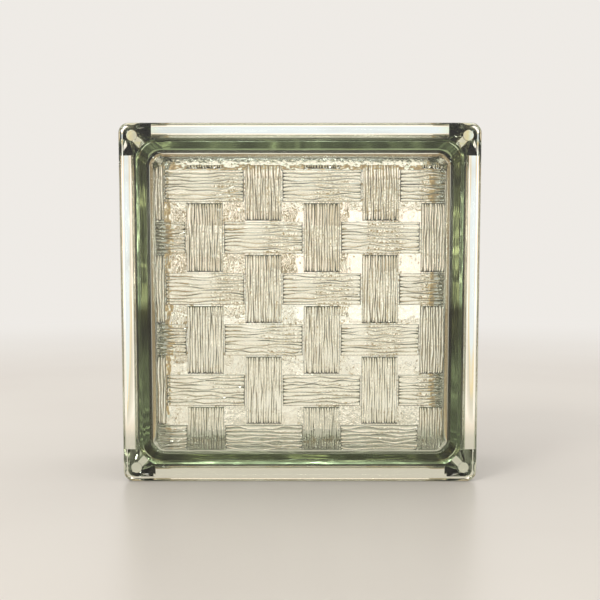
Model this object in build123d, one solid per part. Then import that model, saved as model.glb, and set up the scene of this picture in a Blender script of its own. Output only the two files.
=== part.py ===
from build123d import *
import os

# A hollow glass block: two pressed glass half shells, fused rim to rim into one sealed block.
# The block stands on its lower side. +Z is up and -Y is the front.
# The origin is at the centre of the bottom, midway between the two faces. Sizes are in millimetres.

# The whole block
face_side = 190.0  # width and height of the two faces
block_depth = 80.0  # from the front face to the back face
face_corner_radius = 5.5  # corners of the square face, seen from the front
face_edge_radius = 2.5  # rounding all round the outer edge of a face

# The rim round each face, and the mortar key between the two rims
rim_depth = 9.5  # full-size band next to the face, where the mortar joint is narrowest
rim_back_radius = 1.5  # rounding of the rim's edge on the key's side
key_depth = 8.0  # how far the side walls lie inside the rims
key_fillet = 3.0  # hollow between the rim's back and the side wall
wall_corner_radius = 10.0  # outer corners of the side walls, next to the rim
wall_swell = 1.5  # how much further out the side walls lie at the seam than next to the rim

# The web behind each corner of a rim, which runs along the diagonal from the rim's corner to the side wall
web_height = 8.0  # from the rim's back to the web's crest
web_foot_length = 16.5  # along both sides of the corner
web_foot_width = 9.0  # at the foot's ends, across the rim's back
web_crest_width = 3.6
web_crest_start = 4.0  # from the corner of the block along the diagonal
web_crest_shoulder = 6.0  # where the crest has its full width
web_crest_end = 17.0  # inside the side wall's corner
boss_radius = 3.0  # round boss on the web's outer end, at the crest
boss_draft = 0.3  # how much wider the boss is at its foot
boss_inset = 5.3  # from the boss's middle to both sides of the block
boss_lift = 0.3  # how far the boss stands above the web's crest

# The glass
face_thickness = 8.0  # from the smooth outer face to the flat ground of the pattern
wall_thickness = 5.2  # side wall, next to the face
mouth_widening = 2.0  # draft: how much further out the cavity's side is at the seam
cavity_corner_radius = 6.0  # upright corners of the cavity, next to the face
cavity_floor_fillet = 3.3  # hollow between the side walls and the face

# The seam, where the two rims were melted together
bead_height = 1.0  # how far the squeezed-out glass stands proud of the side wall
bead_width = 3.0  # across both halves
bead_rounding = 0.9  # share of the bead's height that its rounding takes

# The basket weave pressed into the inside of each face
warp_pitch = 31.1  # from one upright strip to the next
weft_pitch = 27.2  # from one level strip to the next
warp_width = 19.2
weft_width = 16.7
warp_offset = 11.6  # middle of the nearest upright strip, right of the block's centre
weft_offset = 8.2  # middle of the nearest level strip, above the block's centre
crossing_gap = 0.6  # groove between the end of a strip and the strip it dives under
strip_crown = 1.2  # height of a strip at the middle of its float
strip_end = 0.8  # height of a strip where it dives under
strip_root = 0.5  # how deep a strip reaches into the face behind it
pattern_margin = 0.3  # plain ground beside and below the pattern, next to the cavity's floor fillet
pattern_top_margin = 5.0  # plain ground above the pattern
pattern_corner_radius = 4.0

half_depth = block_depth / 2
wall_side = face_side - 2 * key_depth
seam_side = wall_side + 2 * wall_swell
seam_corner_radius = wall_corner_radius + wall_swell
rim_back_height = half_depth - rim_depth
cavity_side = wall_side - 2 * wall_thickness
mouth_side = cavity_side + 2 * mouth_widening
floor_height = half_depth - face_thickness
floor_side = cavity_side - 2 * cavity_floor_fillet
pattern_width = floor_side - 2 * pattern_margin
pattern_height = floor_side - pattern_margin - pattern_top_margin
pattern_centre = (pattern_margin - pattern_top_margin) / 2

warp_float = 2 * weft_pitch - weft_width - 2 * crossing_gap
weft_float = 2 * warp_pitch - warp_width - 2 * crossing_gap


# A half shell is modelled on its own seam plane: +Z of that frame runs from the seam to the face.


def outer_body():
    """The half shell's outside: walls that stand on the seam, under the wider rim and face."""
    seam_outline = RectangleRounded(seam_side, seam_side, seam_corner_radius)
    rim_end_outline = RectangleRounded(wall_side, wall_side, wall_corner_radius)
    walls = loft([seam_outline, Pos(0, 0, rim_back_height) * rim_end_outline])
    face_outline = RectangleRounded(face_side, face_side, face_corner_radius)
    rim = Pos(0, 0, rim_back_height) * extrude(face_outline, rim_depth)
    rim = fillet(rim.faces().sort_by(Axis.Z)[-1].edges(), face_edge_radius)
    rim = fillet(rim.faces().sort_by(Axis.Z)[0].edges(), rim_back_radius)
    body = walls + rim
    key_edges = body.edges().filter_by(
        lambda e: abs(e.center().Z - rim_back_height) < 0.01
        and max(abs(e.center().X), abs(e.center().Y)) < wall_side / 2 + 0.01
    )
    return fillet(key_edges, key_fillet)


def corner_web():
    """The web behind one corner of the rim. The corner is the origin, and its sides run along +X and +Y."""
    foot = Polygon(
        (0, 0),
        (web_foot_length, 0),
        (web_foot_length, web_foot_width),
        (web_foot_width, web_foot_length),
        (0, web_foot_length),
        align=None,
    )
    crest = Rot(0, 0, 45) * Polygon(
        (web_crest_start, 0),
        (web_crest_shoulder, -web_crest_width / 2),
        (web_crest_end, -web_crest_width / 2),
        (web_crest_end, web_crest_width / 2),
        (web_crest_shoulder, web_crest_width / 2),
        align=None,
    )
    web = loft([Pos(0, 0, -web_height) * crest, foot], ruled=True)
    under_rim = (Align.CENTER, Align.CENTER, Align.MAX)
    boss = Cone(boss_radius, boss_radius + boss_draft, web_height + boss_lift, align=under_rim)
    return web + Pos(boss_inset, boss_inset) * boss


def corner_webs():
    """The four webs in their places, cut back to the flat land on the rim's back."""
    land_side = face_side - 2 * rim_back_radius
    land_outline = RectangleRounded(land_side, land_side, face_corner_radius - rim_back_radius)
    land = Pos(0, 0, rim_back_height) * extrude(land_outline, -web_height - boss_lift)
    corner = Pos(-face_side / 2, -face_side / 2, rim_back_height) * corner_web()
    return [Rot(0, 0, 90 * quarter) * (corner & land) for quarter in range(4)]


def seam_bead():
    """Half of the bead of glass that the fusing squeezed out round the side walls."""
    side = seam_side + 2 * bead_height
    bead = extrude(RectangleRounded(side, side, seam_corner_radius + bead_height), bead_width / 2)
    return fillet(bead.faces().sort_by(Axis.Z)[-1].edges(), bead_height * bead_rounding)


def cavity():
    """The hollow of a half shell, widening from the floor behind the face to the seam."""
    mouth_radius = cavity_corner_radius + mouth_widening
    mouth = RectangleRounded(mouth_side, mouth_side, mouth_radius)
    floor = Pos(0, 0, floor_height) * RectangleRounded(cavity_side, cavity_side, cavity_corner_radius)
    hollow = loft([mouth, floor])
    return fillet(hollow.faces().sort_by(Axis.Z)[-1].edges(), cavity_floor_fillet)


def strip_float(length, width):
    """One visible stretch of a strip, arched along its length, which runs along X."""
    half = length / 2
    outline = make_face(
        Polyline((-half, -strip_end), (-half, strip_root), (half, strip_root), (half, -strip_end))
        + ThreePointArc((half, -strip_end), (0, -strip_crown), (-half, -strip_end))
    )
    return extrude(Plane.XZ * outline, width / 2, both=True)


def basket_weave():
    """Plain weave: at each crossing either the upright or the level strip lies on top."""
    upright = Rot(0, 0, 90) * strip_float(warp_float, warp_width)
    level = strip_float(weft_float, weft_width)
    reach = floor_side / 2
    columns = range(-int(reach // warp_pitch) - 2, int(reach // warp_pitch) + 2)
    rows = range(-int(reach // weft_pitch) - 2, int(reach // weft_pitch) + 2)
    outline = RectangleRounded(pattern_width, pattern_height, pattern_corner_radius)
    frame = Pos(0, pattern_centre, floor_height) * extrude(outline, 2 * strip_crown, both=True)
    floats = []
    for column in columns:
        for row in rows:
            strip = upright if (column + row) % 2 else level
            x = warp_offset + column * warp_pitch
            y = weft_offset + row * weft_pitch
            visible = (Pos(x, y, floor_height) * strip) & frame
            if visible is not None and visible.solids():
                floats.extend(visible.solids())
    return floats


def half_shell():
    shell = outer_body().fuse(*corner_webs()) + seam_bead() - cavity()
    return shell.fuse(*basket_weave())


front_half = Pos(0, 0, face_side / 2) * (Plane.XZ * half_shell())
back_half = Rot(0, 0, 180) * front_half

os.makedirs("parts", exist_ok=True)
export_step(front_half, "parts/front_half.step")
export_step(back_half, "parts/back_half.step")
for name, half in (("front_half", front_half), ("back_half", back_half)):
    print(name, "solids", len(half.solids()), "volume", round(half.volume), half.bounding_box())
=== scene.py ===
# %% [markdown]
# # A hollow glass block with a basket weave
# This lesson dresses a glass building block. The real one is made of two pressed half shells of clear, slightly
# green glass. They are melted together rim to rim round a sealed hollow.
# Its outside is smooth. The weave that is seen from the front is pressed into the inside of each face.
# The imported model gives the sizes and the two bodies, and everything here is built in that same frame, in metres.

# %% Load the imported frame
import math
from itertools import product

import bpy
import numpy as np
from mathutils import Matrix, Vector, noise


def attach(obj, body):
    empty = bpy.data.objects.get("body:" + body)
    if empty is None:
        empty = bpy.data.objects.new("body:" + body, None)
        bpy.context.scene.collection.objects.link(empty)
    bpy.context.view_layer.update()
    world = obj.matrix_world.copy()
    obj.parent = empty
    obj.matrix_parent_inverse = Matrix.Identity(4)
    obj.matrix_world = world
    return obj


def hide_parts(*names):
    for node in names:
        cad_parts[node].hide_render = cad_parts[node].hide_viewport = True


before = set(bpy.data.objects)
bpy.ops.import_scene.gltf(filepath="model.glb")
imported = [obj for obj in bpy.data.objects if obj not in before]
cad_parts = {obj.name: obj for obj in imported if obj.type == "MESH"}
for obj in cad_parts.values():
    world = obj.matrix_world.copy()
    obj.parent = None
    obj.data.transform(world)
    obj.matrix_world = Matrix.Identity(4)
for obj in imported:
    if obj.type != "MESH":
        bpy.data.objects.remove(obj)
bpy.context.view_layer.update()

# %% [markdown]
# ## Sizes
# The block stands on its lower side, and -Y is its front. Heights are measured from the floor, and depths are measured
# from the seam between the halves towards the face, because a half shell is drawn and pressed that way.
# A pressing is measured in millimetres, so the sizes are written in millimetres and scaled once.

# %% The sizes of a half shell
MM = 0.001
FACE_SIDE = 190 * MM
HALF_DEPTH = 40 * MM
FACE_CORNER = 5.5 * MM
FACE_EDGE = 2.5 * MM
RIM_DEPTH = 9.5 * MM
RIM_BACK_EDGE = 1.5 * MM
KEY_DEPTH = 8 * MM
KEY_FILLET = 3 * MM
WALL_CORNER = 10 * MM
WALL_SWELL = 1.5 * MM
WALL_THICKNESS = 5.2 * MM
MOUTH_WIDENING = 2 * MM
FACE_THICKNESS = 8 * MM
FLOOR_FILLET = 4.8 * MM
HOLLOW_CORNER = 9 * MM
BEAD_HEIGHT = 1 * MM
BEAD_REACH = 1.5 * MM
SEAM_GAP = 0.01 * MM
CORNER_STEPS = 12
ARC_STEPS = 8
SMALL_ARC_STEPS = 6
MIDDLE = FACE_SIDE / 2
FLOOR_DEPTH = HALF_DEPTH - FACE_THICKNESS
WALL_HALF = FACE_SIDE / 2 - KEY_DEPTH
CAVITY_HALF = WALL_HALF - WALL_THICKNESS
FLAT_HALF = CAVITY_HALF - FLOOR_FILLET


def in_mm(*lengths):
    """Lengths in rounded millimetres, to print."""
    return [round(length / MM, 2) for length in lengths]


print("floor of the hollow lies, and is flat for, mm", in_mm(FLOOR_DEPTH, 2 * FLAT_HALF))

# %% [markdown]
# ## Working by hand, in code
# Every operator acts on what is selected, and the loaded frame leaves its own parts selected. So these helpers first
# clear the selection, and then pick an object, or the faces of it that lie where a test says.

# %% Helpers for picking
def pick(*objects):
    """Select only these objects, and make the first one active."""
    bpy.ops.object.select_all(action="DESELECT")
    for item in objects:
        item.select_set(True)
    bpy.context.view_layer.objects.active = objects[0]


def edit_part(item, parts, mode, test):
    """Go into edit mode on an object, with only those of its parts selected that pass the test."""
    pick(item)
    for group in (item.data.vertices, item.data.edges, item.data.polygons):
        group.foreach_set("select", np.zeros(len(group), dtype=bool))
    for part in parts:
        part.select = bool(test(part))
    bpy.context.tool_settings.mesh_select_mode = [mode == kind for kind in ("VERT", "EDGE", "FACE")]
    bpy.ops.object.mode_set(mode="EDIT")


def edit_faces(item, test):
    edit_part(item, item.data.polygons, "FACE", test)


def edit_vertices(item, test):
    edit_part(item, item.data.vertices, "VERT", test)


def edit_edges(item, test):
    edit_part(item, item.data.edges, "EDGE", test)


def edit_all(item, mode="FACE"):
    pick(item)
    bpy.ops.object.mode_set(mode="EDIT")
    bpy.ops.mesh.select_mode(type=mode)
    bpy.ops.mesh.select_all(action="SELECT")


def leave_edit():
    bpy.ops.object.mode_set(mode="OBJECT")


def drop_origin(item):
    """Put an object's place into its mesh, so that its origin is the frame's origin."""
    pick(item)
    bpy.ops.object.transform_apply(location=True, rotation=True, scale=True)


def outward(item):
    """Make all faces of a closed mesh point outwards."""
    edit_all(item)
    bpy.ops.mesh.normals_make_consistent(inside=False)
    leave_edit()


def combine(item, other, operation):
    """Join a closed mesh to another, or cut it by it, and delete the other."""
    pick(item)
    joint = item.modifiers.new(operation.lower(), "BOOLEAN")
    joint.operation = operation
    joint.object = other
    joint.solver = "MANIFOLD"
    bpy.ops.object.modifier_apply(modifier=joint.name)
    bpy.data.objects.remove(other, do_unlink=True)


def join_all(items, name):
    """Join several objects into one mesh."""
    pick(*items)
    bpy.ops.object.join()
    items[0].name = name
    return items[0]


def triangles(item):
    return sum(len(p.vertices) - 2 for p in item.data.polygons)


# %% [markdown]
# ## Rounded outlines
# Both the rim and the side walls are squares with rounded corners. A plane has its four corners bevelled, and all
# outlines get the same number of corner steps, so that two of them can be bridged later.
# From such an outline the section is walked step by step: an inset with a depth moves the outline sideways and
# forwards at once, which is just what a rounding or a hollow fillet needs.

# %% A rounded square, and steps along a section
def rounded_plate(name, half_side, corner, depth, towards_seam):
    """A flat rounded square at a distance from the seam, facing the seam or the face."""
    turn = -math.pi / 2 if towards_seam else math.pi / 2
    bpy.ops.object.select_all(action="DESELECT")
    bpy.ops.mesh.primitive_plane_add(size=2 * half_side, location=(0, -depth, MIDDLE), rotation=(turn, 0, 0))
    plate = bpy.context.object
    plate.name = name
    drop_origin(plate)
    edit_all(plate, "VERT")
    bpy.ops.mesh.bevel(affect="VERTICES", offset=corner, segments=CORNER_STEPS, profile=0.5)
    bpy.ops.mesh.select_mode(type="FACE")
    bpy.ops.mesh.select_all(action="SELECT")
    return plate


def arc_steps(radius, start, end, steps):
    """The moves along an arc of a section: for each step, how far inwards and how far ahead."""
    angles = [math.radians(start + (end - start) * i / steps) for i in range(steps + 1)]
    points = [(radius * math.cos(a), radius * math.sin(a)) for a in angles]
    return [(b[0] - a[0], b[1] - a[1]) for a, b in zip(points, points[1:])]


def step_in(sideways, ahead):
    """Inset the selected end face by a width, and push it along its normal."""
    bpy.ops.mesh.inset(thickness=sideways, depth=ahead, use_even_offset=True)


def step_along(move, grow, depth, half_side):
    """Extrude the selected end face along Y, and widen it by a width on every side."""
    bpy.ops.mesh.extrude_region_move(TRANSFORM_OT_translate={"value": (0, move, 0)})
    factor = (half_side + grow) / half_side
    bpy.ops.transform.resize(value=(factor, 1, factor), center_override=(0, -depth, MIDDLE))
    return half_side + grow


def round_corners(item, half_side, corner):
    """Move the points of the selected rounded square onto another one, whose corners have this radius."""
    leave_edit()
    middle = half_side - corner
    selected = [vertex for vertex in item.data.vertices if vertex.select]
    for right, upper in ((-1, -1), (-1, 1), (1, -1), (1, 1)):
        points = [v for v in selected if v.co.x * right > 0 and (v.co.z - MIDDLE) * upper > 0]
        points.sort(key=lambda v: math.atan2((v.co.z - MIDDLE) * upper, v.co.x * right))
        for step, point in enumerate(points):
            turn = math.pi / 2 * step / (len(points) - 1)
            point.co.x = right * (middle + corner * math.cos(turn))
            point.co.z = MIDDLE + upper * (middle + corner * math.sin(turn))
    bpy.ops.object.mode_set(mode="EDIT")


# %% [markdown]
# ## The rim and the face
# The rim is the part of a half shell that the mortar joint runs along. It is a slab with a large rounding on the
# face's edge and a smaller one at the back. The slab starts as a rounded outline, is extruded by its straight width,
# and gets both roundings by small insets.

# %% The rim
rim_front = HALF_DEPTH - FACE_EDGE
rim_back = HALF_DEPTH - RIM_DEPTH + RIM_BACK_EDGE
rim = rounded_plate("front_rim", FACE_SIDE / 2, FACE_CORNER, rim_back, towards_seam=False)
bpy.ops.mesh.extrude_region_move(TRANSFORM_OT_translate={"value": (0, rim_back - rim_front, 0)})
for across, ahead in arc_steps(FACE_EDGE, 0, 90, ARC_STEPS):
    step_in(-across, ahead)
leave_edit()
edit_faces(rim, lambda face: face.normal.y > 0.9 and len(face.vertices) > 4)
for across, ahead in arc_steps(RIM_BACK_EDGE, 0, 90, SMALL_ARC_STEPS):
    step_in(-across, ahead)
bpy.ops.mesh.delete(type="ONLY_FACE")
leave_edit()
places = np.array([vertex.co for vertex in rim.data.vertices])
print("rim reaches, mm", in_mm(*places.min(axis=0)), "to", in_mm(*places.max(axis=0)))

# %% [markdown]
# ## The walls and the hollow
# Behind the rim the walls step in, which leaves room for the mortar. The walls start with a hollow fillet on the rim's
# back, spread a little towards the seam, and end in the bead that melting the halves together squeezed out.
# From the seam the same skin turns inwards, runs back along the hollow, and ends in the floor behind the face. The
# hollow's corners get a rounding of their own, so the points of its mouth are moved onto it.

# %% The walls
LAND_DEPTH = HALF_DEPTH - RIM_DEPTH
BEAD_SHARES = (0.8, 0.55, 0.25, 0.0)
walls = rounded_plate(
    "front_walls", WALL_HALF + KEY_FILLET, WALL_CORNER + KEY_FILLET, LAND_DEPTH, towards_seam=True
)
for across, ahead in arc_steps(KEY_FILLET, 90, 180, ARC_STEPS):
    step_in(-across, -ahead)
depth = LAND_DEPTH - KEY_FILLET
half_side = step_along(depth - BEAD_REACH, WALL_SWELL, BEAD_REACH, WALL_HALF)
depth = BEAD_REACH
bead_before = 0.0
for share in BEAD_SHARES:
    bead = BEAD_HEIGHT * math.sqrt(1 - share ** 2)
    new_depth = max(BEAD_REACH * share, SEAM_GAP)
    half_side = step_along(depth - new_depth, bead - bead_before, new_depth, half_side)
    depth = new_depth
    bead_before = bead

# %% The hollow
mouth_half = CAVITY_HALF + MOUTH_WIDENING
step_in(half_side - mouth_half, 0)
round_corners(walls, mouth_half, HOLLOW_CORNER)
floor_fillet_start = FLOOR_DEPTH - FLOOR_FILLET
half_side = step_along(depth - floor_fillet_start, -MOUTH_WIDENING, floor_fillet_start, mouth_half)
for across, ahead in arc_steps(FLOOR_FILLET, 0, 90, ARC_STEPS):
    step_in(-across, -ahead)
leave_edit()
print("walls and hollow", len(walls.data.polygons), "faces, hollow at the fillet, mm wide", in_mm(2 * half_side))

# %% [markdown]
# ## One skin
# The rim and the walls have outlines with the same number of points, one open and one still closed by the plate that
# the walls started from. So the plate is deleted, and the land between the two outlines is made by bridging them.

# %% Bridge the rim to the walls
def bridge_land(rim, walls):
    """Join the rim and the walls, and make the flat land between their two open outlines."""
    shell = join_all([rim, walls], "front_half_glass")
    pick(shell)
    bpy.ops.object.mode_set(mode="EDIT")
    bpy.ops.mesh.select_mode(type="EDGE")
    bpy.ops.mesh.select_all(action="DESELECT")
    bpy.ops.mesh.select_non_manifold()
    bpy.ops.mesh.bridge_edge_loops()
    bpy.ops.mesh.select_all(action="SELECT")
    bpy.ops.mesh.normals_make_consistent(inside=False)
    leave_edit()
    return shell


shell = bridge_land(rim, walls)
print("shell", len(shell.data.polygons), "faces")

# %% [markdown]
# ## The corner webs
# Behind each corner of the rim a web runs along the diagonal to the wall's corner, with a round boss on its outer end.
# From the front its flanks throw rays about inside the glass, and these meet the painted dark shade, while its flat
# crest and boss stay bright, so it is what makes the four dark corners with a white dot in them.
# Its foot is a square plate with one corner cut off. It is extruded to the crest, whose five corners are then moved to
# their places, and the flanks are subdivided, because they are twisted.

# %% A web and its boss
WEB_HEIGHT = 8 * MM
WEB_FOOT = 16.5 * MM
WEB_FOOT_WIDTH = 9 * MM
CREST_WIDTH = 3.6 * MM
CREST_START = 4 * MM
CREST_SHOULDER = 6 * MM
CREST_END = 17 * MM
BOSS_RADIUS = 3 * MM
BOSS_DRAFT = 0.3 * MM
BOSS_INSET = 5.3 * MM
BOSS_LIFT = 0.3 * MM
BOSS_EDGE = 0.4 * MM
WEB_ROOT = 1 * MM
WEB_CUTS = 5
BOSS_SIDES = 40


def corner_web():
    """The web behind the lower left corner, with the corner of the block at the origin and the foot at no height."""
    foot = [(0, 0), (WEB_FOOT, 0), (WEB_FOOT, WEB_FOOT_WIDTH), (WEB_FOOT_WIDTH, WEB_FOOT), (0, WEB_FOOT)]
    side = CREST_WIDTH / 2
    along = [
        (CREST_START, 0), (CREST_SHOULDER, -side), (CREST_END, -side), (CREST_END, side), (CREST_SHOULDER, side)
    ]
    slant = math.sqrt(0.5)
    crest = [((s - w) * slant, (s + w) * slant) for s, w in along]
    bpy.ops.object.select_all(action="DESELECT")
    bpy.ops.mesh.primitive_plane_add(size=WEB_FOOT, location=(WEB_FOOT / 2, WEB_FOOT / 2, 0))
    web = bpy.context.object
    web.name = "corner_web"
    drop_origin(web)
    edit_vertices(web, lambda v: v.co.x > WEB_FOOT / 2 and v.co.y > WEB_FOOT / 2)
    bpy.ops.mesh.bevel(affect="VERTICES", offset=WEB_FOOT - WEB_FOOT_WIDTH, segments=1)
    bpy.ops.mesh.select_all(action="SELECT")
    bpy.ops.mesh.extrude_region_move(TRANSFORM_OT_translate={"value": (0, 0, WEB_HEIGHT)})
    leave_edit()
    tops = [v for v in web.data.vertices if v.co.z > WEB_HEIGHT / 2]
    for (foot_x, foot_y), (crest_x, crest_y) in zip(foot, crest):
        nearest = min(tops, key=lambda v: (v.co.x - foot_x) ** 2 + (v.co.y - foot_y) ** 2)
        tops.remove(nearest)
        nearest.co.x, nearest.co.y = crest_x, crest_y
    edit_all(web)
    bpy.ops.mesh.subdivide(number_cuts=WEB_CUTS)
    leave_edit()
    return web


def web_boss():
    """The round boss on the web's outer end: a cylinder, drawn in a little towards its top, with a rounded edge."""
    height = WEB_HEIGHT + BOSS_LIFT
    bpy.ops.object.select_all(action="DESELECT")
    bpy.ops.mesh.primitive_cylinder_add(
        vertices=BOSS_SIDES, radius=BOSS_RADIUS + BOSS_DRAFT, depth=height,
        location=(BOSS_INSET, BOSS_INSET, height / 2),
    )
    boss = bpy.context.object
    boss.name = "web_boss"
    drop_origin(boss)
    edit_faces(boss, lambda face: face.normal.z > 0.9)
    shrink = BOSS_RADIUS / (BOSS_RADIUS + BOSS_DRAFT)
    bpy.ops.transform.resize(value=(shrink, shrink, 1), center_override=(BOSS_INSET, BOSS_INSET, height))
    bpy.ops.mesh.bevel(offset=BOSS_EDGE, segments=3, affect="EDGES")
    leave_edit()
    return boss


# %% Cut the web back to the rim's land, and set one behind each corner
web = corner_web()
combine(web, web_boss(), "UNION")
for vertex in web.data.vertices:
    across, up, height = vertex.co
    vertex.co = (across - FACE_SIDE / 2, -LAND_DEPTH + height, up)
outward(web)
land = rounded_plate(
    "land", FACE_SIDE / 2 - RIM_BACK_EDGE, FACE_CORNER - RIM_BACK_EDGE, LAND_DEPTH, towards_seam=True
)
bpy.ops.mesh.extrude_region_move(TRANSFORM_OT_translate={"value": (0, WEB_HEIGHT + 2 * BOSS_LIFT, 0)})
leave_edit()
outward(land)
combine(web, land, "INTERSECT")
edit_faces(web, lambda face: face.normal.y < -0.9 and face.center.y < -LAND_DEPTH + BOSS_LIFT)
bpy.ops.mesh.extrude_region_move(TRANSFORM_OT_translate={"value": (0, -WEB_ROOT, 0)})
leave_edit()
print("web", triangles(web), "triangles")

webs = [web]
for mirror_x, mirror_z in ((-1, 1), (-1, -1), (1, -1)):
    pick(web)
    bpy.ops.object.duplicate()
    mirrored = bpy.context.object
    for vertex in mirrored.data.vertices:
        vertex.co.x *= mirror_x
        vertex.co.z = MIDDLE + (vertex.co.z - MIDDLE) * mirror_z
    outward(mirrored)
    webs.append(mirrored)
combine(shell, join_all(webs, "corner_webs"), "UNION")
print("shell with webs", triangles(shell), "triangles")

# %% [markdown]
# ## The weave
# The mould for the face had a basket weave cut into it. Upright and level strips lie over each other in turn, so each
# strip shows as a row of short floats, one between every two dives.
# A float is a slightly arched pad with fine ridges along it. The ridges wander, run together and part again, and their
# grooves are what shows as thin dark lines, because a slanted face of glass looks past the painted bright field
# behind, into painted brown tones.
# Such lines can't be drawn with a bump, because they have to bend real rays. So a float starts as a grid whose rows
# are moved onto the grooves and crests of the ridges, and it is then extruded into a closed pad.

# %% Where the strips lie
WARP_PITCH = 31.1 * MM
WEFT_PITCH = 27.2 * MM
WARP_WIDTH = 19.2 * MM
WEFT_WIDTH = 16.7 * MM
WARP_OFFSET = 11.6 * MM
WEFT_OFFSET = 8.2 * MM
CROSSING_GAP = 0.6 * MM
STRIP_CROWN = 1.2 * MM
STRIP_END = 0.75 * MM
STRIP_ROOT = 0.5 * MM
PATTERN_MARGIN = 0.3 * MM
PATTERN_TOP_MARGIN = 3.5 * MM
PATTERN_RUN_OUT = 1.8 * MM
PATTERN_CORNER = 4 * MM
WARP_FLOAT = 2 * WEFT_PITCH - WEFT_WIDTH - 2 * CROSSING_GAP
WEFT_FLOAT = 2 * WARP_PITCH - WARP_WIDTH - 2 * CROSSING_GAP
PATTERN_HALF = FLAT_HALF - PATTERN_MARGIN
PATTERN_TOP = FLAT_HALF - PATTERN_TOP_MARGIN
PATTERN_BOTTOM = FLAT_HALF + PATTERN_RUN_OUT
print("upright and level floats, mm long", in_mm(WARP_FLOAT, WEFT_FLOAT))

# %% The ridges of one float
RIDGE_SAMPLES = (0.0, 0.12, 0.3, 0.5, 0.7, 0.88)
STATION_STEP = 1.25 * MM
END_STATIONS = np.array((0.0, 0.12, 0.35, 0.65, 1.1)) * MM
WANDER_LENGTHS = ((28, 60), (11, 20))
WANDER_AMOUNTS = ((0.4, 0.9), (0.15, 0.5))
SWING_LENGTHS = ((14, 34),)
SWING_AMOUNTS = ((0.15, 0.35),)
END_ROUNDING = 0.5 * MM
END_DROP = 0.4 * MM
END_STEEPNESS = 0.98
END_CUT = 2.4
END_CUT_REACH = 1.3 * MM
TIP_LIFT = 0.18 * MM
TIP_PLACE = 0.6 * MM
TIP_SHARPNESS = 1.6
SLIM_WIDTH = 1.4 * MM
SLIM_DROP = 0.25 * MM
SIDE_DROP = 0.4 * MM
LOWEST = 0.05 * MM
WARP_RIDGES = {"count": 14, "depth": 0.31 * MM, "power": 2.0, "wander": 0.42 * MM, "least": 0.5 * MM}
WEFT_RIDGES = {"count": 9, "depth": 0.35 * MM, "power": 3.0, "wander": 0.75 * MM, "least": 0.35 * MM}


def waves(random, stations, lengths, amounts):
    """Sine waves along a strip, each with a length and a start of its own."""
    total = np.zeros(len(stations))
    for (short, long), (least, most) in zip(lengths, amounts):
        length = random.uniform(short, long) * MM
        total += random.uniform(least, most) * np.sin(2 * math.pi * (stations / length + random.uniform(0, 1)))
    return total


def groove_paths(random, ridges, width, stations):
    """Where each groove lies across the strip, at every station. The outer two are the straight sides."""
    count = ridges["count"]
    paths = [np.full(len(stations), -width / 2 + width * k / count) for k in range(count + 1)]
    for path in paths[1:-1]:
        path += ridges["wander"] * waves(random, stations, WANDER_LENGTHS, WANDER_AMOUNTS)
    for k in range(1, count):
        paths[k] = np.maximum(paths[k], paths[k - 1] + ridges["least"])
    for k in range(count - 1, 0, -1):
        paths[k] = np.minimum(paths[k], paths[k + 1] - ridges["least"])
    return paths


def stations_along(length):
    """Stations from end to end of a float, closer together at both ends, where the ridges round off."""
    inner = length / 2 - END_STATIONS[-1]
    middle = np.linspace(-inner, inner, round(2 * inner / STATION_STEP) + 1)
    ends = END_STATIONS[:-1]
    return np.concatenate((-length / 2 + ends, middle, length / 2 - ends[::-1]))


def ridged_surface(random, ridges, length, width):
    """The stations along a float, and the places across it and its height over the ground, row by row."""
    stations = stations_along(length)
    to_middle = np.abs(stations) / (length / 2)
    to_end = length / 2 - np.abs(stations)
    arch = STRIP_END + (STRIP_CROWN - STRIP_END) * (1 - to_middle ** 2)
    rounding = np.clip(1 - to_end / END_ROUNDING, 0, 1)
    arch = arch - END_DROP * (1 - np.sqrt(1 - END_STEEPNESS * rounding ** 2))
    tip = TIP_LIFT * np.exp(-((to_end / TIP_PLACE - 1) * TIP_SHARPNESS) ** 2)
    paths = groove_paths(random, ridges, width, stations)
    cuts = []
    for _ in paths:
        swing = 1 + waves(random, stations, SWING_LENGTHS, SWING_AMOUNTS)
        cuts.append(ridges["depth"] * swing * (1 + END_CUT * np.clip(1 - to_end / END_CUT_REACH, 0, 1)))
    across, height = [], []
    for k in range(ridges["count"]):
        ridge_width = paths[k + 1] - paths[k]
        slim = np.clip(1 - ridge_width / SLIM_WIDTH, 0, 1) * SLIM_DROP
        for share in RIDGE_SAMPLES:
            cut = cuts[k] * (1 - share) + cuts[k + 1] * share
            across.append(paths[k] + ridge_width * share)
            groove = abs(2 * share - 1) ** ridges["power"]
            height.append(arch + tip * (1 - groove) - cut * groove - slim)
    across.append(paths[-1])
    height.append(arch - cuts[-1])
    height[0] = height[-1] = arch - SIDE_DROP
    return stations, np.array(across), np.maximum(np.array(height), LOWEST)


# %% A float as a closed pad
def closed_pad(name, places):
    """A grid whose points are moved to these places (rows by columns), extruded into the face behind it."""
    rows, columns = places.shape[:2]
    bpy.ops.object.select_all(action="DESELECT")
    bpy.ops.mesh.primitive_grid_add(x_subdivisions=columns - 1, y_subdivisions=rows - 1, size=1)
    pad = bpy.context.object
    pad.name = name
    pad.data.vertices.foreach_set("co", places.reshape(-1))
    pad.data.update()
    edit_all(pad)
    bpy.ops.mesh.extrude_region_move(TRANSFORM_OT_translate={"value": (0, 0, 0)})
    root_depth = FLOOR_DEPTH + STRIP_ROOT
    bpy.ops.transform.resize(value=(1, 0, 1), center_override=(0, -root_depth, MIDDLE))
    bpy.ops.mesh.dissolve_limited(angle_limit=math.radians(1), use_dissolve_boundaries=False)
    bpy.ops.mesh.select_all(action="SELECT")
    bpy.ops.mesh.normals_make_consistent(inside=False)
    leave_edit()
    return pad


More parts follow.
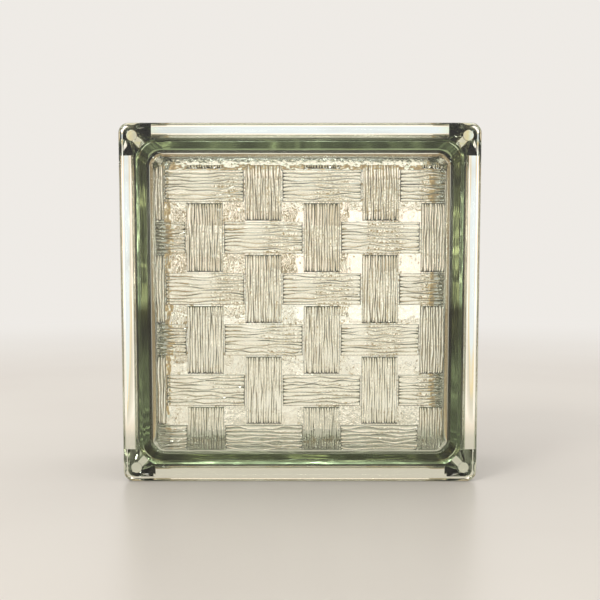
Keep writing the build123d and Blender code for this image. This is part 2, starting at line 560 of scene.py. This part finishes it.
def strip_float(random, x, z, upright):
    """One float of a strip, with its middle at a place on the face."""
    level_sizes, upright_sizes = (WEFT_RIDGES, WEFT_FLOAT, WEFT_WIDTH), (WARP_RIDGES, WARP_FLOAT, WARP_WIDTH)
    stations, across, height = ridged_surface(random, *(upright_sizes if upright else level_sizes))
    along = np.broadcast_to(stations, across.shape)
    places = np.empty(across.shape + (3,), dtype=np.float32)
    places[..., 0] = x + (across if upright else along)
    places[..., 1] = -(FLOOR_DEPTH - height)
    places[..., 2] = MIDDLE + z + (along if upright else across)
    return closed_pad("upright_float" if upright else "level_float", places)


# %% [markdown]
# ## The ground between the strips
# Where two strips dive, a small rectangle of the face's ground shows. The real one isn't smooth there: the mould's
# cut ground left a fine crinkle, which glitters. It is modelled as a low pad too, whose heights come from a seeded
# turbulence, so that it is the same at each run.

# %% A crinkled patch of ground
CRINKLE_STEP = 0.6 * MM
CRINKLE_HEIGHT = 0.13 * MM
CRINKLE_LEAST = 0.06 * MM
CRINKLE_SIZE = 2.2 * MM
CRINKLE_OCTAVES = 2
VEIN_PLACE = Vector((3, 1, 9))
VEIN_STRETCH = 0.9
VEIN_SHARPNESS = 4
SEED_SPREAD = 7.3
SIDE_SHARE = 0.3
PATCH_CLEARANCE = 0.05 * MM


def ground_patch(x_low, x_high, z_low, z_high, seed):
    """A crinkled pad that fills the ground between four floats."""
    xs = np.linspace(x_low, x_high, round((x_high - x_low) / CRINKLE_STEP) + 1)
    zs = np.linspace(z_low, z_high, round((z_high - z_low) / CRINKLE_STEP) + 1)
    places = np.empty((len(zs), len(xs), 3), dtype=np.float32)
    for row, z in enumerate(zs):
        for column, x in enumerate(xs):
            spot = Vector((x / CRINKLE_SIZE, z / CRINKLE_SIZE, seed * SEED_SPREAD))
            rough = noise.turbulence(spot, CRINKLE_OCTAVES, False, amplitude_scale=0.5, frequency_scale=2.0)
            vein = max(0.0, 1 - VEIN_SHARPNESS * abs(noise.noise(spot * VEIN_STRETCH + VEIN_PLACE)))
            height = CRINKLE_LEAST + CRINKLE_HEIGHT * 0.5 * (rough + vein)
            to_side = min(x - x_low, x_high - x, z - z_low, z_high - z)
            height *= min(1.0, SIDE_SHARE + to_side / MM)
            places[row, column] = (x, -(FLOOR_DEPTH - height), MIDDLE + z)
    return closed_pad("ground_patch", places)


# %% Lay out the whole weave of one face
CROSSINGS = range(-4, 4)
SEEDS_PER_COLUMN = 9
BOX_DEPTH = 8 * STRIP_CROWN


def in_pattern(x_low, x_high, z_low, z_high):
    """Whether a rectangle reaches into the pattern."""
    return max(x_low, -x_high) < PATTERN_HALF and z_low < PATTERN_TOP and z_high > -PATTERN_BOTTOM


def pattern_box():
    """A box with rounded corners that holds just the pattern."""
    height = PATTERN_BOTTOM + PATTERN_TOP
    bpy.ops.object.select_all(action="DESELECT")
    bpy.ops.mesh.primitive_cube_add(size=1, location=(0, -FLOOR_DEPTH, MIDDLE - PATTERN_BOTTOM + height / 2))
    box = bpy.context.object
    box.scale = (2 * PATTERN_HALF, BOX_DEPTH, height)
    drop_origin(box)
    places = [vertex.co.copy() for vertex in box.data.vertices]
    edit_edges(box, lambda edge: (places[edge.vertices[0]] - places[edge.vertices[1]]).xz.length < MM)
    bpy.ops.mesh.bevel(offset=PATTERN_CORNER, segments=SMALL_ARC_STEPS, affect="EDGES")
    leave_edit()
    return box


def weave(seed):
    """All floats and ground patches of one face, trimmed to the pattern's rectangle."""
    random = np.random.default_rng(seed)
    gap_x = (WARP_WIDTH / 2 + PATCH_CLEARANCE, WARP_PITCH - WARP_WIDTH / 2 - PATCH_CLEARANCE)
    gap_z = (WEFT_WIDTH / 2 + PATCH_CLEARANCE, WEFT_PITCH - WEFT_WIDTH / 2 - PATCH_CLEARANCE)
    pads = []
    for column, row in product(CROSSINGS, CROSSINGS):
        x = WARP_OFFSET + column * WARP_PITCH
        z = WEFT_OFFSET + row * WEFT_PITCH
        upright = (column + row) % 2 == 1
        reach_x = (WARP_WIDTH if upright else WEFT_FLOAT) / 2
        reach_z = (WARP_FLOAT if upright else WEFT_WIDTH) / 2
        if in_pattern(x - reach_x, x + reach_x, z - reach_z, z + reach_z):
            pads.append(strip_float(random, x, z, upright))
        gap = (x + gap_x[0], x + gap_x[1], z + gap_z[0], z + gap_z[1])
        if in_pattern(*gap):
            pads.append(ground_patch(*gap, seed + SEEDS_PER_COLUMN * column + row))
    count = len(pads)
    pads = join_all(pads, "weave")
    combine(pads, pattern_box(), "INTERSECT")
    print(count, "pads,", triangles(pads), "triangles in the weave")
    return pads


# %% [markdown]
# ## Two halves
# Each half gets a weave with ridges of its own, melted into its floor. The smooth skin is then shaded smooth, apart
# from its real edges, and normals are weighted by face size, so that the flat faces of the glass stay dead flat and
# mirror straight. Glass shows every wrong normal.
# The back half is the same pressing, turned round the upright line through the block's middle.

# %% Finish the halves
SHARP_ANGLE = 40


def finish_half(item, name, seed):
    """Melt a weave into a shell, and shade the result."""
    combine(item, weave(seed), "UNION")
    item.name = name
    item.data.name = name
    pick(item)
    bpy.ops.object.shade_smooth()
    item.data.set_sharp_from_angle(angle=math.radians(SHARP_ANGLE))
    weigh = item.modifiers.new("weigh", "WEIGHTED_NORMAL")
    weigh.keep_sharp = True
    bpy.ops.object.modifier_apply(modifier=weigh.name)


pick(shell)
bpy.ops.object.duplicate()
back = bpy.context.object
front = shell
finish_half(front, "front_half_glass", seed=3)
finish_half(back, "back_half_glass", seed=4)
back.rotation_euler.z = math.pi
drop_origin(back)
for half, node in ((front, "front_half"), (back, "back_half")):
    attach(half, "root")
    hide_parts(node)
    print(half.name, triangles(half), "triangles")

# %% [markdown]
# ## Clear glass with a green tint
# Pressed soda-lime glass is clear, and its green only shows where light runs a long way through it. So the surface
# is uncoloured, and the colour sits in the volume: absorption takes a little of each metre's light, most of the blue.
# Where one looks along a wall the path is ten times as long as through a face, and the glass turns dark green by
# itself.
# The skin isn't perfectly flat either. It cooled against a mould, so a faint ripple goes in as a bump, and so does a
# fine grain on the pressed floor. Both follow the piece's own place, so they stay where they are when it moves.

# %% Helpers for nodes
def add_node(tree, kind, **settings):
    """Add a node, set its own properties, and give it back."""
    node = tree.nodes.new(kind)
    for key, value in settings.items():
        setattr(node, key, value)
    return node


def feed(tree, socket, value):
    """Set a socket to a constant, or link another socket to it."""
    if isinstance(value, bpy.types.NodeSocket):
        tree.links.new(value, socket)
    else:
        socket.default_value = value


def feed_all(tree, node, **values):
    """Feed inputs by name, with an underscore for a space."""
    for name, value in values.items():
        feed(tree, node.inputs[name.replace("_", " ")], value)
    return node


def maths(tree, operation, *values, kind="ShaderNodeMath", output=0):
    """The result of a node that reckons with its inputs in turn."""
    node = add_node(tree, kind, operation=operation)
    for socket, value in zip(node.inputs, values):
        feed(tree, socket, value)
    return node.outputs[output]


def vector_maths(tree, operation, *values, output="Vector"):
    return maths(tree, operation, *values, kind="ShaderNodeVectorMath", output=output)


def parts_of(tree, vector):
    """The X, Y and Z of a vector."""
    return feed_all(tree, add_node(tree, "ShaderNodeSeparateXYZ"), Vector=vector).outputs


def soft_noise(tree, vector, scale, detail):
    """A soft noise between 0 and 1 that follows a vector."""
    node = add_node(tree, "ShaderNodeTexNoise")
    return feed_all(tree, node, Vector=vector, Scale=scale, Detail=detail).outputs["Fac"]


def ramp(tree, value, stops):
    """A colour that runs through these stops, each with a place and a colour."""
    node = add_node(tree, "ShaderNodeValToRGB")
    feed(tree, node.inputs[0], value)
    points = node.color_ramp.elements
    while len(points) > 1:
        points.remove(points[-1])
    for index, (position, colour) in enumerate(stops):
        point = points[0] if index == 0 else points.new(position)
        point.position = position
        point.color = (*colour, 1)
    return node.outputs[0]


def blend(tree, first, second, kind="MULTIPLY", share=1.0):
    """Two colours, blended."""
    node = add_node(tree, "ShaderNodeMix", data_type="RGBA", blend_type=kind)
    feed(tree, node.inputs["Factor"], share)
    colours = [socket for socket in node.inputs if socket.type == "RGBA"]
    for socket, value in zip(colours, (first, second)):
        feed(tree, socket, value)
    return [socket for socket in node.outputs if socket.type == "RGBA"][0]


def mix_shaders(tree, share, first, second):
    """Two shaders, mixed by a share of the second."""
    node = add_node(tree, "ShaderNodeMixShader")
    for socket, value in zip(node.inputs, (share, first, second)):
        feed(tree, socket, value)
    return node.outputs[0]


def bump(tree, height, distance):
    return feed_all(tree, add_node(tree, "ShaderNodeBump"), Height=height, Distance=distance)


# %% The glass
GLASS_IOR = 1.51
ABSORPTION_DENSITY = 60
LOSS_PER_METRE = (16.5, 13.2, 19.5)
RIPPLE_LENGTH = 26 * MM
RIPPLE_WIDTH = 6 * MM
RIPPLE_HEIGHT = 0.09 * MM
GRAIN_SIZE = 2.5 * MM
GRAIN_HEIGHT = 0.12 * MM
GRAIN_REACH = 1 * MM

glass = bpy.data.materials.new("green_tinted_glass")
glass.use_nodes = True
tree = glass.node_tree
surface = tree.nodes["Principled BSDF"]
feed_all(tree, surface, Base_Color=(1, 1, 1, 1), Transmission_Weight=1, Roughness=0, IOR=GLASS_IOR)

place = add_node(tree, "ShaderNodeTexCoord").outputs["Object"]
drawn_out = vector_maths(tree, "MULTIPLY", place, (1, RIPPLE_LENGTH / RIPPLE_WIDTH, 1))
ripple = bump(tree, soft_noise(tree, drawn_out, 1 / RIPPLE_LENGTH, detail=1), RIPPLE_HEIGHT)
x, y, z = parts_of(tree, place)
from_middle = maths(
    tree, "MAXIMUM", maths(tree, "ABSOLUTE", x), maths(tree, "ABSOLUTE", maths(tree, "SUBTRACT", z, MIDDLE))
)
over_floor = maths(tree, "LESS_THAN", from_middle, FLAT_HALF)
below_face = maths(tree, "LESS_THAN", maths(tree, "ABSOLUTE", y), FLOOR_DEPTH + GRAIN_REACH)
pressed = maths(tree, "MULTIPLY", over_floor, below_face)
grain_height = maths(tree, "MULTIPLY", soft_noise(tree, place, 1 / GRAIN_SIZE, detail=1), pressed)
grain = bump(tree, grain_height, GRAIN_HEIGHT)
feed(tree, grain.inputs["Normal"], ripple.outputs["Normal"])
feed(tree, surface.inputs["Normal"], grain.outputs["Normal"])

tint = add_node(tree, "ShaderNodeVolumeAbsorption")
left_over = [1 - loss / ABSORPTION_DENSITY for loss in LOSS_PER_METRE]
feed_all(tree, tint, Color=(*left_over, 1), Density=ABSORPTION_DENSITY)
feed(tree, tree.nodes["Material Output"].inputs["Volume"], tint.outputs["Volume"])
for half in (front, back):
    half.data.materials.clear()
    half.data.materials.append(glass)
print("glass loses", LOSS_PER_METRE, "of red, green and blue per metre")

# %% [markdown]
# ## What the glass sees
# Clear glass has no looks of its own: it shows its surroundings, bent. So the floor and the room are painted with
# light and shade that only the rays through glass meet, and for them the floor glows. The camera itself, and the light
# on the floor, see plain pale walls.
# A ray that has gone straight through meets a painted bright field ahead, with a beige border. Beside and above it
# come a cool band between two warm lines, then brown tones, and a bright ceiling at last: painted reflections, as no
# such room is built. A groove bends rays into the brown tones, which draws it as a thin brown line.
# A ray that was thrown about inside the glass comes out of a wall, a web or a groove. It meets painted dark shade,
# with painted streaks and a few painted gleams in it.
# The tones are ramps over how far a ray points sideways, and how far up. On the floor the place that a ray meets
# stands for its direction.

# %% The painted tones of the surroundings, which only rays through glass meet
PALE_ROOM = (0.86, 0.83, 0.79, 1)
GLASS_LIGHT = 1.66
FIELD = (1.06, 0.9, 0.825)
WARM_LINE = (0.70, 0.54, 0.30)
COOL_BAND = (0.62, 0.64, 0.66)
PAINTED_DARK_SHADE = (0.01, 0.01, 0.008)
# Painted light and shade for rays that went straight through: a bright field, warm lines, a cool band, brown tones.
STRAIGHT_SIDE = (
    (0, FIELD), (0.125, FIELD), (0.15, (0.74, 0.65, 0.56)), (0.17, (0.50, 0.45, 0.36)), (0.1725, WARM_LINE),
    (0.174, COOL_BAND), (0.1865, COOL_BAND), (0.188, WARM_LINE), (0.1905, (0.36, 0.36, 0.31)),
    (0.205, (0.52, 0.52, 0.50)), (0.225, (0.62, 0.46, 0.27)), (0.26, (0.47, 0.33, 0.18)),
    (0.33, (0.34, 0.235, 0.125)), (0.45, (0.25, 0.18, 0.11)), (0.6, (0.34, 0.29, 0.22)),
    (0.75, (0.50, 0.48, 0.45)), (1, (0.52, 0.50, 0.48)),
)
STRAIGHT_UP = (
    (0, (1.1, 1.1, 1.1)), (0.11, (1.1, 1.1, 1.1)), (0.126, (0.62, 0.57, 0.47)), (0.129, WARM_LINE),
    (0.1315, (0.60, 0.635, 0.66)), (0.149, (0.62, 0.64, 0.67)), (0.151, WARM_LINE), (0.154, (0.38, 0.38, 0.33)),
    (0.18, (0.58, 0.59, 0.58)), (0.225, (0.66, 0.49, 0.29)), (0.28, (0.46, 0.32, 0.18)), (0.4, (0.30, 0.20, 0.11)),
    (0.47, (0.36, 0.27, 0.17)), (0.58, (1.0, 1.05, 0.95)), (1, (1.05, 1.08, 1.05)),
)
# Painted shade for rays thrown about inside the glass: bright only near the axis, dark further out.
THROWN_SIDE = (
    (0, (1.0, 1.0, 0.95)), (0.07, (1.0, 1.0, 0.95)), (0.13, (0.42, 0.40, 0.35)), (0.18, (0.32, 0.29, 0.24)),
    (0.26, (0.46, 0.40, 0.30)), (0.36, (0.12, 0.10, 0.06)), (0.5, (0.025, 0.025, 0.015)), (1, PAINTED_DARK_SHADE),
)
THROWN_UP = (
    (0, (1, 1, 1)), (0.06, (1, 1, 1)), (0.11, (0.34, 0.32, 0.29)), (0.17, (0.28, 0.26, 0.22)),
    (0.26, (0.5, 0.46, 0.37)), (0.36, (0.12, 0.11, 0.07)), (0.5, (0.025, 0.025, 0.018)), (1, PAINTED_DARK_SHADE),
)
# A soft, cloudy variation of the painted field, and painted gleams in the painted shade.
CLOUDS = ((0.38, (0.88, 0.86, 0.83)), (0.52, (1, 1, 1)))
CLOUD_SCALE = 9
PAINTED_GLEAMS = (
    (0.40, (0.5, 0.5, 0.46)), (0.5, (1.0, 1.0, 0.98)), (0.58, (1.7, 1.7, 1.7)), (0.61, (2.2, 2.2, 2.2)),
    (0.65, (7, 7, 7)),
)
PAINTED_GLEAM_SCALE = 26
GLINT_SQUASH = (1, 1, 2.2)

# The floor's painted tones run over the distance from the block in metres, or as a share of a far distance from its
# middle. Near the block both the straight and the thrown tones darken into a painted shadow.
PAINTED_SHADOW_NEAR_BLOCK = ((0.0, (0.55, 0.56, 0.52)), (0.06, (0.60, 0.60, 0.56)), (0.1, (0.80, 0.76, 0.70)), (0.18, (1, 1, 1)))
FAR = 4.0
STRAIGHT_FAR = (
    (0.05, (0.80, 0.715, 0.64)), (0.12, (0.75, 0.665, 0.59)), (0.3, (0.81, 0.73, 0.67)), (0.6, (0.97, 0.94, 0.91))
)
THROWN_FAR = (
    (0.025, (0.12, 0.12, 0.09)), (0.085, (0.24, 0.23, 0.18)), (0.2, (0.17, 0.16, 0.12)), (0.3, (0.13, 0.12, 0.09)),
    (0.55, (0.2, 0.18, 0.14)), (0.8, (1.0, 1.0, 0.95)),
)


def light_paths(tree):
    """The light path, and two switches: the ray came through glass, and it was reflected inside it."""
    path = add_node(tree, "ShaderNodeLightPath")
    through = maths(tree, "GREATER_THAN", path.outputs["Transmission Depth"], 0.5)
    reflected = maths(tree, "GREATER_THAN", path.outputs["Glossy Depth"], 0.5)
    return path, through, maths(tree, "MULTIPLY", through, reflected)


def painted_gleams(tree, direction):
    """Painted streaks and a few painted bright gleams, by direction."""
    return ramp(tree, soft_noise(tree, direction, PAINTED_GLEAM_SCALE, detail=2), PAINTED_GLEAMS)


# %% The floor
FLOOR_RADIUS = 8
FLOOR_SIDES = 96
FLOOR_TONES = ((0.3, (0.74, 0.70, 0.65)), (0.7, (0.80, 0.77, 0.72)))
FLOOR_ROUGHNESS = 0.32
FADE_START = 0.35
FADE_END = 1.6

bpy.ops.object.select_all(action="DESELECT")
bpy.ops.mesh.primitive_circle_add(vertices=FLOOR_SIDES, radius=FLOOR_RADIUS, fill_type="NGON", location=(0, 0, 0))
floor = bpy.context.object
floor.name = "studio_floor"
stone = bpy.data.materials.new("pale_floor")
stone.use_nodes = True
tree = stone.node_tree
plain = tree.nodes["Principled BSDF"]
place = add_node(tree, "ShaderNodeTexCoord").outputs["Object"]
floor_colour = ramp(tree, soft_noise(tree, place, scale=3, detail=4), FLOOR_TONES)
feed_all(tree, plain, Base_Color=floor_colour, Roughness=FLOOR_ROUGHNESS)

path, through, thrown = light_paths(tree)
away = vector_maths(tree, "LENGTH", place, output="Value")
x, y, _ = parts_of(tree, place)
beside = maths(tree, "SUBTRACT", maths(tree, "ABSOLUTE", x), FACE_SIDE / 2)
behind = maths(tree, "SUBTRACT", maths(tree, "ABSOLUTE", y), HALF_DEPTH)
sideways = maths(tree, "DIVIDE", maths(tree, "MAXIMUM", beside, 0.0), away)
far_share = maths(tree, "DIVIDE", away, FAR)
straight = ramp(tree, maths(tree, "MAXIMUM", beside, behind), PAINTED_SHADOW_NEAR_BLOCK)
straight = blend(tree, straight, ramp(tree, far_share, STRAIGHT_FAR))
straight = blend(tree, straight, ramp(tree, sideways, STRAIGHT_SIDE), "DARKEN")
bent = blend(tree, ramp(tree, far_share, THROWN_FAR), ramp(tree, sideways, THROWN_SIDE))
bent = blend(tree, bent, painted_gleams(tree, vector_maths(tree, "NORMALIZE", place)))

# For rays through glass the floor isn't lit: it glows with the painted tones, painted shadow and painted gleams.
glow = add_node(tree, "ShaderNodeEmission")
feed_all(tree, glow, Color=blend(tree, straight, bent, "MIX", thrown), Strength=GLASS_LIGHT)
room_glow = feed_all(tree, add_node(tree, "ShaderNodeEmission"), Color=PALE_ROOM)
fade = add_node(tree, "ShaderNodeMapRange", interpolation_type="SMOOTHSTEP")
feed_all(tree, fade, Value=away, From_Min=FADE_START, From_Max=FADE_END)
faded = maths(tree, "MULTIPLY", fade.outputs["Result"], path.outputs["Is Camera Ray"])
seen = mix_shaders(tree, faded, plain.outputs["BSDF"], room_glow.outputs["Emission"])
floor_shader = mix_shaders(tree, through, seen, glow.outputs["Emission"])
feed(tree, tree.nodes["Material Output"].inputs["Surface"], floor_shader)
floor.data.materials.append(stone)
print("floor", round(floor.dimensions.x, 1), "m across")

# %% The room
room = bpy.data.worlds.new("pale_room")
bpy.context.scene.world = room
room.use_nodes = True
tree = room.node_tree
sky = tree.nodes["Background"]
direction = add_node(tree, "ShaderNodeTexCoord").outputs["Generated"]
x, _, upward = parts_of(tree, direction)
sideways = maths(tree, "ABSOLUTE", x)
squashed = vector_maths(tree, "MULTIPLY", direction, GLINT_SQUASH)
# For rays through glass the room is painted: straight tones with a cloudy variation, and painted shade with painted
# gleams for thrown rays, all brightened by GLASS_LIGHT.
straight = blend(tree, ramp(tree, sideways, STRAIGHT_SIDE), ramp(tree, upward, STRAIGHT_UP), "DARKEN")
straight = blend(tree, straight, ramp(tree, soft_noise(tree, squashed, CLOUD_SCALE, detail=2), CLOUDS))
bent = blend(tree, ramp(tree, sideways, THROWN_SIDE), ramp(tree, upward, THROWN_UP))
bent = blend(tree, bent, painted_gleams(tree, squashed))
_, through, thrown = light_paths(tree)
feed_all(tree, sky, Color=blend(tree, straight, bent, "MIX", thrown), Strength=GLASS_LIGHT)
pale_walls = feed_all(tree, add_node(tree, "ShaderNodeBackground"), Color=PALE_ROOM)
room_shader = mix_shaders(tree, through, pale_walls.outputs["Background"], sky.outputs["Background"])
feed(tree, tree.nodes["World Output"].inputs["Surface"], room_shader)
print("room is", GLASS_LIGHT, "times as bright through the glass as it is beside it")

# %% [markdown]
# ## One soft lamp
# The room already lights the floor evenly. A soft lamp in front, high on the left, puts a highlight on the roundings
# of the rim and a soft shadow on the floor.

# %% The lamp
def soft_lamp(name, place, aim, size, power, colour):
    """A round area lamp at a place, aimed at a point."""
    light = bpy.data.lights.new(name, "AREA")
    light.shape = "DISK"
    light.size = size
    light.energy = power
    light.color = colour
    lamp = bpy.data.objects.new(name, light)
    bpy.context.collection.objects.link(lamp)
    lamp.location = place
    lamp.rotation_euler = (Vector(aim) - Vector(place)).to_track_quat("-Z", "Y").to_euler()
    return lamp


lamp = soft_lamp(
    "front_lamp", place=(-0.7, -1.0, 1.1), aim=(0, 0, 0.1), size=0.5, power=6, colour=(1.0, 0.97, 0.92)
)
print("lamp of", lamp.data.energy, "W stands", round(lamp.location.length, 2), "m away")

# %% [markdown]
# ## The camera
# The photograph is taken from close by, a little above the block's middle, and tipped slightly down, so that the
# block narrows towards its foot. A small upward shift puts the block at the same height in the picture.

# %% Place the camera
CAMERA_DISTANCE = 0.5
CAMERA_RISE = 0.018
CAMERA_TIP = 5.0
PIXEL = 0.000529
PICTURE = 600
BLOCK_MIDDLE_ROW = 304.8
SENSOR_WIDTH = 36
CLIP_START = 0.01
camera_data = bpy.data.cameras.new("camera")
camera = bpy.data.objects.new("camera", camera_data)
bpy.context.collection.objects.link(camera)
camera.location = (0, -HALF_DEPTH - CAMERA_DISTANCE, MIDDLE + CAMERA_RISE)
camera.rotation_euler = (math.radians(90 - CAMERA_TIP), 0, 0)
focal_pixels = CAMERA_DISTANCE / PIXEL
camera_data.sensor_width = SENSOR_WIDTH
camera_data.lens = focal_pixels / PICTURE * SENSOR_WIDTH
camera_data.clip_start = CLIP_START
angle = math.radians(CAMERA_TIP) - math.atan2(CAMERA_RISE, CAMERA_DISTANCE)
row_offset = math.tan(angle) * focal_pixels
camera_data.shift_y = (row_offset + BLOCK_MIDDLE_ROW - PICTURE / 2) / PICTURE
bpy.context.scene.camera = camera
print("lens", round(camera_data.lens, 1), "mm, shift", round(camera_data.shift_y, 4))

# %% Colours as written, and enough bounces for two thick walls
bpy.context.scene.view_settings.view_transform = "Standard"
bpy.context.scene.cycles.max_bounces = 24
bpy.context.scene.cycles.transmission_bounces = 20
bpy.context.scene.cycles.glossy_bounces = 8
